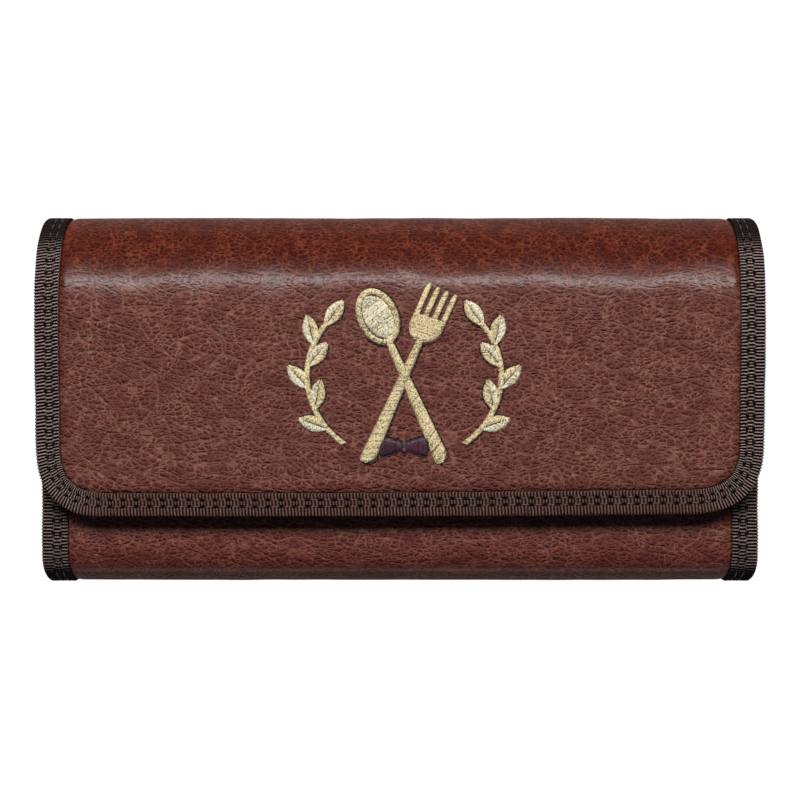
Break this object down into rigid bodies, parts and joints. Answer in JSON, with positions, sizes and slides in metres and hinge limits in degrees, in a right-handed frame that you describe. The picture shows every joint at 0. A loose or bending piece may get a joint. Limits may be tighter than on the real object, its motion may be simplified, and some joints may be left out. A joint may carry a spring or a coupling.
{
  "type": "waiters wallet",
  "caption": "Long leather waiter's wallet with a fold-over flap, ribbed tape edges, note compartments and a zipped coin purse.",
  "frame": {"origin": "middle of the wallet's outline, on the plane of its back, which it lies on", "axes": "+X along the wallet's width, +Y from the bottom to the top roll, +Z out of the front face"},
  "size_m": [0.1946, 0.0988, 0.0369],
  "materials": {
    "leather": "satin, creased grain",
    "tape": "ribbed, matt",
    "lining": "woven nylon",
    "board": "matt",
    "padding": "foam",
    "closure": "hook and loop pile",
    "zip_plastic": "moulded",
    "zip_metal": "aged",
    "thread": "satin thread"
  },
  "bodies": {
    "back": {"back_leather": "leather", "back_padding": "padding", "back_board": "board", "back_lining": "lining", "back_tape_left": "tape", "back_tape_right": "tape", "gusset_left": "lining", "gusset_right": "lining"},
    "spine": {"spine_leather": "leather", "spine_lining": "lining", "spine_tape_left": "tape", "spine_tape_right": "tape"},
    "flap": {"flap_leather": "leather", "flap_padding": "padding", "flap_board": "board", "flap_lining": "lining", "flap_tape": "tape", "hook_strip": "closure", "embroidery_cutlery": "thread", "embroidery_sprig_left": "thread", "embroidery_sprig_right": "thread"},
    "front": {"front_leather": "leather", "front_padding": "padding", "front_board": "board", "front_lining": "lining", "front_tape_left": "tape", "front_tape_right": "tape", "front_tape_top": "tape", "loop_strip": "closure"},
    "divider": {"divider_panel": "lining", "divider_tape": "tape"},
    "coin_purse": {"coin_pouch": "lining", "coin_gusset_left": "lining", "coin_gusset_right": "lining", "zip_tape_back": "tape", "zip_tape_front": "tape", "zip_teeth_back": "zip_plastic", "zip_teeth_front": "zip_plastic", "zip_stop_left": "zip_plastic", "zip_stop_right": "zip_plastic"},
    "slider": {"zip_slider": "zip_metal"},
    "pull": {"zip_pull": "zip_metal"}
  },
  "joints": [
    {"name": "spine_fold", "type": "hinge", "parent": "back", "child": "spine", "pos_m": [0, 0.04413, 0.00527], "axis": [-1, 0, 0], "range_deg": [0, 90]},
    {"name": "flap_fold", "type": "hinge", "parent": "spine", "child": "flap", "pos_m": [0, 0.04413, 0.03073], "axis": [-1, 0, 0], "range_deg": [0, 90]},
    {"name": "front_lean", "type": "hinge", "parent": "back", "child": "front", "pos_m": [0, -0.04676, 0.02716], "axis": [1, 0, 0], "range_deg": [0, 20], "deforming": ["gusset_left", "gusset_right"]},
    {"name": "purse_lean", "type": "hinge", "parent": "back", "child": "coin_purse", "pos_m": [0, -0.0444, 0.018], "axis": [1, 0, 0], "range_deg": [0, 12]},
    {"name": "divider_lean", "type": "hinge", "parent": "back", "child": "divider", "pos_m": [0, -0.0444, 0.00905], "axis": [1, 0, 0], "range_deg": [0, 5]},
    {"name": "zip_slide", "type": "slide", "parent": "coin_purse", "child": "slider", "axis": [-1, 0, 0], "range_m": [0, 0.136]},
    {"name": "pull_swing", "type": "hinge", "parent": "slider", "child": "pull", "pos_m": [0.068, 0.02545, 0.018], "axis": [0, 0, -1], "range_deg": [0, 175]}
  ],
  "couplings": [
    {"joint": "front_lean", "follows": "spine_fold", "ratio": 0.222},
    {"joint": "purse_lean", "follows": "spine_fold", "ratio": 0.133},
    {"joint": "divider_lean", "follows": "spine_fold", "ratio": 0.055}
  ]
}
